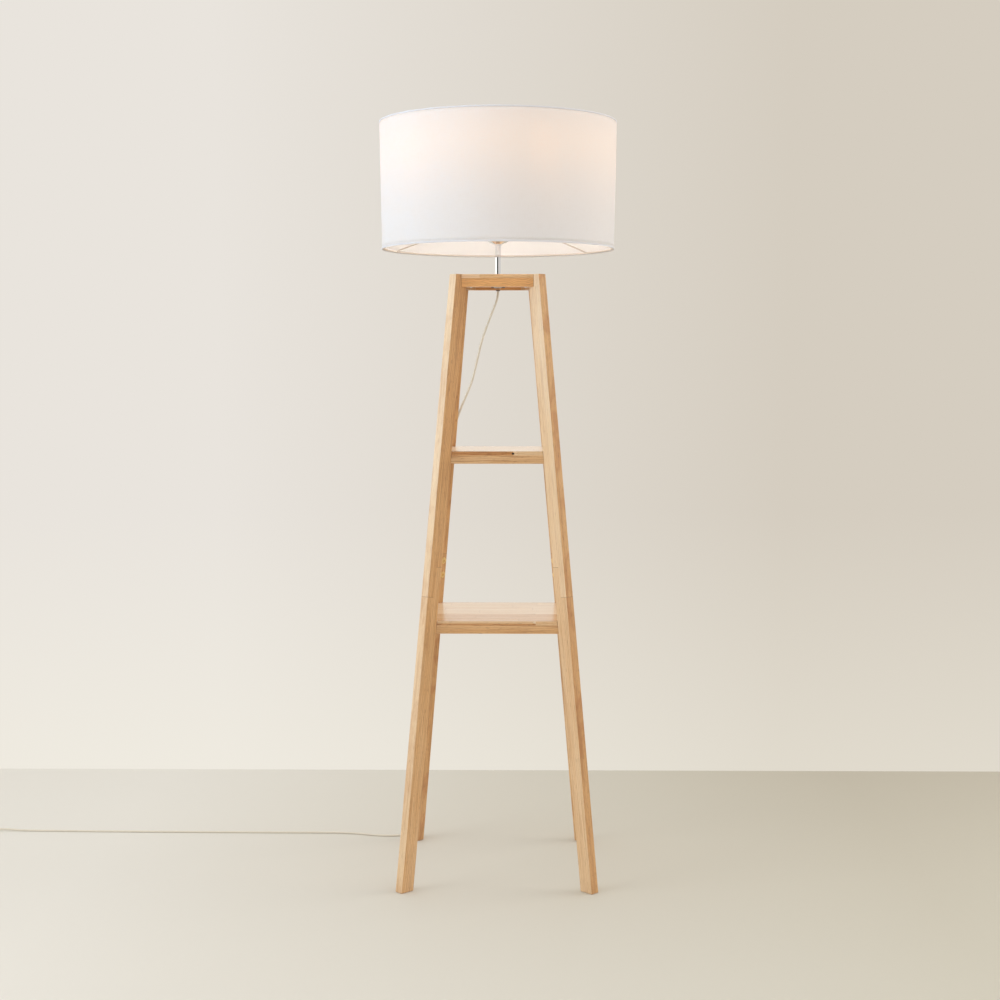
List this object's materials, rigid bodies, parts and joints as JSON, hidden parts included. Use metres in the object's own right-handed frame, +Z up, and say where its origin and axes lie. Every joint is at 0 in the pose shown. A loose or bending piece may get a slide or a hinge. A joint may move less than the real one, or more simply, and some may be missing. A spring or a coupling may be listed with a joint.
{
  "type": "shelf floor lamp",
  "caption": "Floor lamp on splayed diagonal wooden legs with square shelves, a slim metal stem and a wide drum shade; cord with floor switch and plug.",
  "frame": {"origin": "on the floor under the stem's axis, in the middle of the four feet", "axes": "+Z up along the stem, +X to the right and +Y to the back as seen from the front; the cord leaves to the left, along -X"},
  "size_m": [1.6127, 0.5135, 1.595],
  "materials": {
    "wood": "satin lacquered light hardwood",
    "panel_wood": "satin lacquered laminated hardwood",
    "brass": "brass plated",
    "zinc": "zinc plated",
    "chrome": "polished chrome",
    "clear_plastic": "natural nylon",
    "holder_plastic": "white moulded",
    "holder_insulator": "white moulded",
    "cap_metal": "plain",
    "bulb_glass": "opal white",
    "shade_cloth": "plain weave, white",
    "shade_lining": "white laminated sheet",
    "shade_tape": "narrow rolled edge",
    "wire": "powder coated",
    "cord_plastic": "white flexible",
    "switch_plastic": "white moulded"
  },
  "bodies": {
    "stand": {"cord_clips": "cord_plastic", "cord_coil": "cord_plastic", "cord_main": "cord_plastic", "cord_tail": "cord_plastic", "floor_switch_base": "switch_plastic", "floor_switch_cover": "switch_plastic", "holder_dish": "chrome", "lampholder_base": "holder_plastic", "lampholder_insert": "holder_insulator", "lampholder_screw_shell": "brass", "lampholder_skirt": "holder_plastic", "lap_bolts": "brass", "lap_inserts": "brass", "leg_lower_front_left": "wood", "leg_lower_front_right": "wood", "leg_lower_rear_left": "wood", "leg_lower_rear_right": "wood", "leg_screws": "zinc", "leg_upper_front_left": "wood", "leg_upper_front_right": "wood", "leg_upper_rear_left": "wood", "leg_upper_rear_right": "wood", "lower_shelf_corner_blocks": "wood", "lower_shelf_panel": "panel_wood", "lower_shelf_rail_front": "wood", "lower_shelf_rail_left": "wood", "lower_shelf_rail_rear": "wood", "lower_shelf_rail_right": "wood", "plug_body": "cord_plastic", "plug_pins": "brass", "stem_collar": "chrome", "stem_cord_grip": "clear_plastic", "stem_crossbar": "wood", "stem_flange": "zinc", "stem_flange_screws": "zinc", "stem_locknut": "zinc", "stem_tube": "chrome", "top_corner_blocks": "wood", "top_panel": "panel_wood", "top_rail_front": "wood", "top_rail_left": "wood", "top_rail_rear": "wood", "top_rail_right": "wood", "upper_shelf_corner_blocks": "wood", "upper_shelf_panel": "panel_wood", "upper_shelf_rail_front": "wood", "upper_shelf_rail_left": "wood", "upper_shelf_rail_rear": "wood", "upper_shelf_rail_right": "wood"},
    "shade": {"shade_fabric": "shade_cloth", "shade_lining": "shade_lining", "shade_bindings": "shade_tape", "shade_lower_ring": "wire", "shade_upper_ring": "wire", "shade_spider": "wire"},
    "bulb": {"bulb_cap": "cap_metal", "bulb_globe": "bulb_glass"},
    "washer": {"shade_washer": "holder_plastic"},
    "clamp_ring": {"shade_clamp_ring": "holder_plastic"},
    "switch_button": {"floor_switch_button": "switch_plastic"}
  },
  "joints": [
    {"name": "shade_turn", "type": "hinge", "parent": "stand", "child": "shade", "pos_m": [0, 0, 1.3959], "axis": [0, 0, 1], "continuous": true},
    {"name": "clamp_ring_lift", "type": "slide", "parent": "stand", "child": "washer", "axis": [0, 0, 1], "range_m": [0, 0.008]},
    {"name": "clamp_ring_turn", "type": "hinge", "parent": "washer", "child": "clamp_ring", "pos_m": [0, 0, 1.3959], "axis": [0, 0, 1], "range_deg": [0, 1440]},
    {"name": "bulb_unscrew", "type": "slide", "parent": "stand", "child": "bulb", "axis": [0, 0, 1], "range_m": [0, 0.027]},
    {"name": "switch_press", "type": "slide", "parent": "stand", "child": "switch_button", "axis": [0, 0, -1], "range_m": [0, 0.0025], "stiffness_N_per_m": 800}
  ],
  "couplings": [
    {"joint": "clamp_ring_turn", "follows": "clamp_ring_lift", "rad_per_m": 3141.6}
  ]
}
